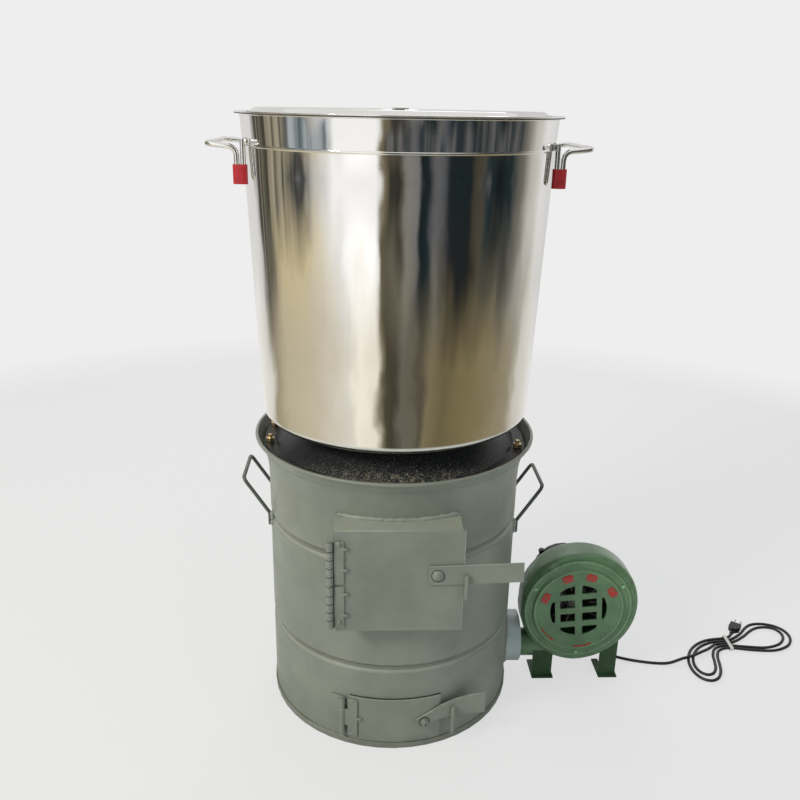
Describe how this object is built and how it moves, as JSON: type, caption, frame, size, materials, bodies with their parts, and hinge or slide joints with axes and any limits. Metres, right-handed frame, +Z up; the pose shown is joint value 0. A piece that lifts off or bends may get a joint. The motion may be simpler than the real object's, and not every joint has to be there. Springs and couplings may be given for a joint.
{
  "type": "coal_stove",
  "caption": "Drum-shaped coal stove with a fuel door, an ash door, an air pipe with a loose electric blower, and a tall lidded steel pot standing on its cast ring.",
  "frame": {"origin": "centre of the floor pan's underside, on the ground under the drum's axis", "axes": "+Z up along the drum's axis, -Y towards the side with both doors, +X towards the blower"},
  "size_m": [1.1594, 0.5328, 1.0627],
  "materials": {
    "drum_paint": "grey-green gloss paint, worn and dusty",
    "black_iron": "black varnish, dusty at the edges",
    "zinc": "yellow zinc plating",
    "fire_clay": "rough dry fire clay",
    "blower_paint": "green hammer-tone paint",
    "motor_black": "satin black",
    "fan_steel": "bare pressed steel",
    "bright_steel": "bright plated steel",
    "rubber": "smooth black",
    "tie": "white",
    "stainless": "mirror-polished stainless steel",
    "red_plastic": "moulded red"
  },
  "bodies": {
    "stove": {"floor_pan": "drum_paint", "drum_shell": "drum_paint", "collar": "drum_paint", "air_pipe": "drum_paint", "left_handle": "drum_paint", "right_handle": "drum_paint", "fuel_chute": "drum_paint", "fuel_hinge_lower_frame_leaf": "drum_paint", "fuel_hinge_upper_frame_leaf": "drum_paint", "fuel_hinge_lower_pin": "drum_paint", "fuel_hinge_upper_pin": "drum_paint", "fuel_keeper": "drum_paint", "ash_hinge_wall_leaf": "drum_paint", "ash_hinge_pin": "drum_paint", "ash_keeper": "drum_paint", "cast_ring": "black_iron", "ring_bolt_1": "zinc", "ring_bolt_2": "zinc", "ring_bolt_3": "zinc", "ring_bolt_4": "zinc", "ash_lining": "fire_clay", "ledge_ring": "fire_clay", "fire_lining": "fire_clay"},
    "fuel_door": {"fuel_door": "drum_paint", "fuel_hinge_lower_door_leaf": "drum_paint", "fuel_hinge_upper_door_leaf": "drum_paint", "fuel_latch_rivet": "drum_paint"},
    "fuel_latch": {"fuel_latch": "drum_paint"},
    "ash_door": {"ash_door": "drum_paint", "ash_hinge_door_leaf": "drum_paint", "ash_latch_bolt": "drum_paint"},
    "ash_latch": {"ash_latch": "drum_paint"},
    "grate": {"grate": "black_iron"},
    "blower": {"blower_casing": "blower_paint", "blower_cover": "blower_paint", "left_foot": "blower_paint", "right_foot": "blower_paint", "cover_screw_1": "bright_steel", "cover_screw_2": "bright_steel", "cover_screw_3": "bright_steel", "motor_body": "motor_black", "motor_cap": "motor_black", "cable_gland": "rubber", "cord_run": "rubber", "cord_hank": "rubber", "plug": "rubber", "cord_tie": "tie", "plug_pin_1": "bright_steel", "plug_pin_2": "bright_steel"},
    "impeller": {"impeller": "fan_steel", "motor_shaft": "bright_steel"},
    "pot": {"pot": "stainless", "pot_left_handle": "stainless", "pot_right_handle": "stainless", "pot_left_front_sleeve": "red_plastic", "pot_left_back_sleeve": "red_plastic", "pot_right_front_sleeve": "red_plastic", "pot_right_back_sleeve": "red_plastic"},
    "pot_lid": {"pot_lid": "stainless", "lid_handle": "stainless"}
  },
  "joints": [
    {"name": "fuel_door_hinge", "type": "hinge", "parent": "stove", "child": "fuel_door", "pos_m": [-0.108, -0.2637, 0.354], "axis": [0, 0, -1], "range_deg": [0, 120]},
    {"name": "fuel_latch_pivot", "type": "hinge", "parent": "fuel_door", "child": "fuel_latch", "pos_m": [0.062, -0.2631, 0.371], "axis": [0, -1, 0], "range_deg": [0, 60]},
    {"name": "ash_door_hinge", "type": "hinge", "parent": "stove", "child": "ash_door", "pos_m": [-0.09129, -0.21198, 0.06], "axis": [0, 0, -1], "range_deg": [0, 120]},
    {"name": "ash_latch_pivot", "type": "hinge", "parent": "ash_door", "child": "ash_latch", "pos_m": [0.05035, -0.2234, 0.058], "axis": [0.2198, -0.9755, 0], "range_deg": [0, 60]},
    {"name": "blower_pull", "type": "slide", "parent": "stove", "child": "blower", "axis": [1, 0, 0], "range_m": [0, 0.12]},
    {"name": "fan_spin", "type": "hinge", "parent": "blower", "child": "impeller", "pos_m": [0.357, -0.00816, 0.16], "axis": [0, 1, 0], "continuous": true},
    {"name": "pot_lift", "type": "slide", "parent": "stove", "child": "pot", "axis": [0, 0, 1], "range_m": [0, 0.25]},
    {"name": "lid_lift", "type": "slide", "parent": "pot", "child": "pot_lid", "axis": [0, 0, 1], "range_m": [0, 0.3]},
    {"name": "grate_lift", "type": "slide", "parent": "stove", "child": "grate", "axis": [0, 0, 1], "range_m": [0, 0.02]}
  ]
}
